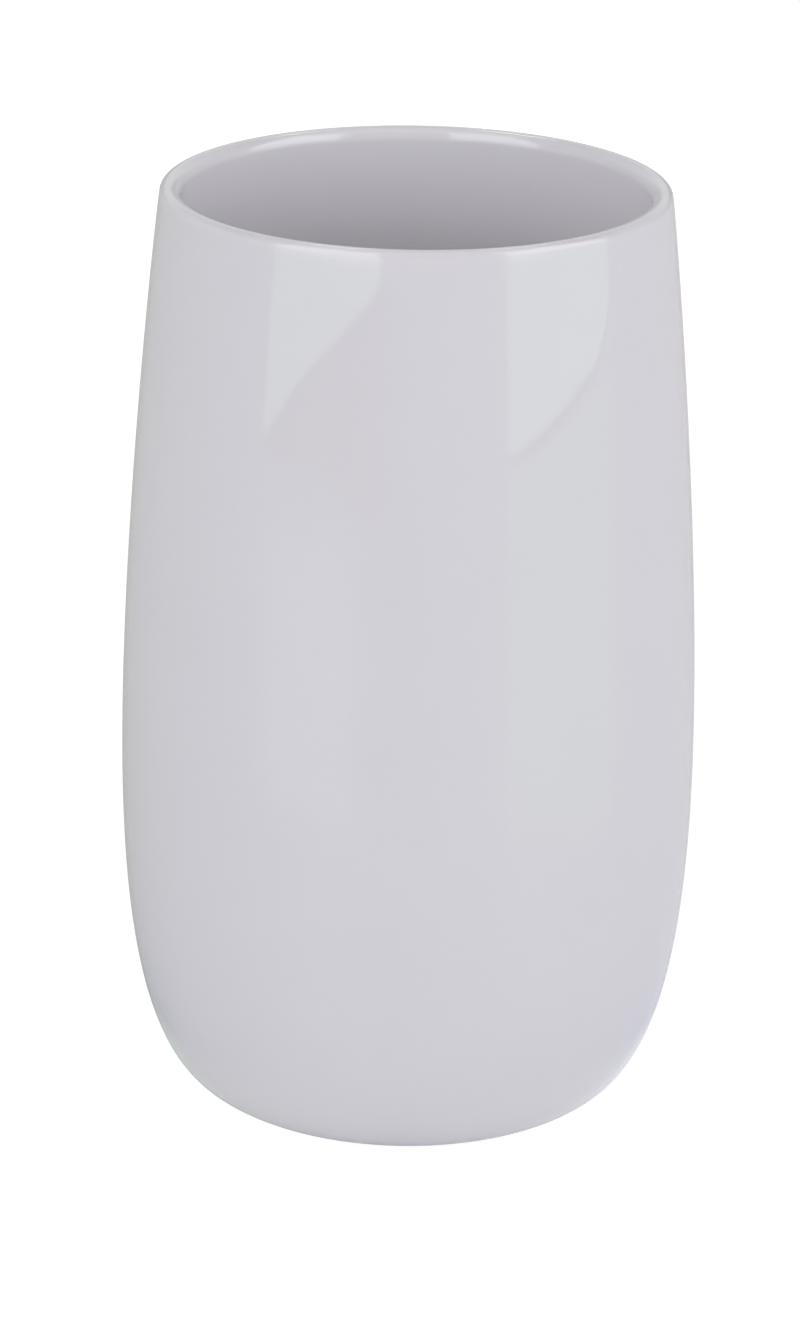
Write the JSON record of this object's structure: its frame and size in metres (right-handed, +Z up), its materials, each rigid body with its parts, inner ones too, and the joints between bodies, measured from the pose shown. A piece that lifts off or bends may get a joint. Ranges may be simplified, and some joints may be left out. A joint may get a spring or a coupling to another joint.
{
  "type": "bathroom tumbler",
  "caption": "Round glazed ceramic bathroom tumbler, widest below its middle, with a narrower mouth, a thick rounded lip, a bare foot ring and soft non-slip feet.",
  "frame": {"origin": "on the standing plane, under the middle of the cup", "axes": "+Z up along the cup's axis, out of its mouth; +X and +Y each pass midway between two neighbouring feet"},
  "size_m": [0.0746, 0.0746, 0.12],
  "materials": {
    "glaze": "glossy fired glaze, pale grey with a slight lavender cast",
    "bare_clay": "matte unglazed fired clay",
    "soft_foot": "satin, slightly milky silicone rubber",
    "adhesive": "thin clear adhesive film"
  },
  "bodies": {
    "root": {"clay_body": "bare_clay", "wall_glaze": "glaze", "base_glaze": "glaze", "foot_pad_1": "soft_foot", "foot_pad_2": "soft_foot", "foot_pad_3": "soft_foot", "foot_pad_4": "soft_foot", "pad_adhesive_1": "adhesive", "pad_adhesive_2": "adhesive", "pad_adhesive_3": "adhesive", "pad_adhesive_4": "adhesive"}
  },
  "joints": []
}
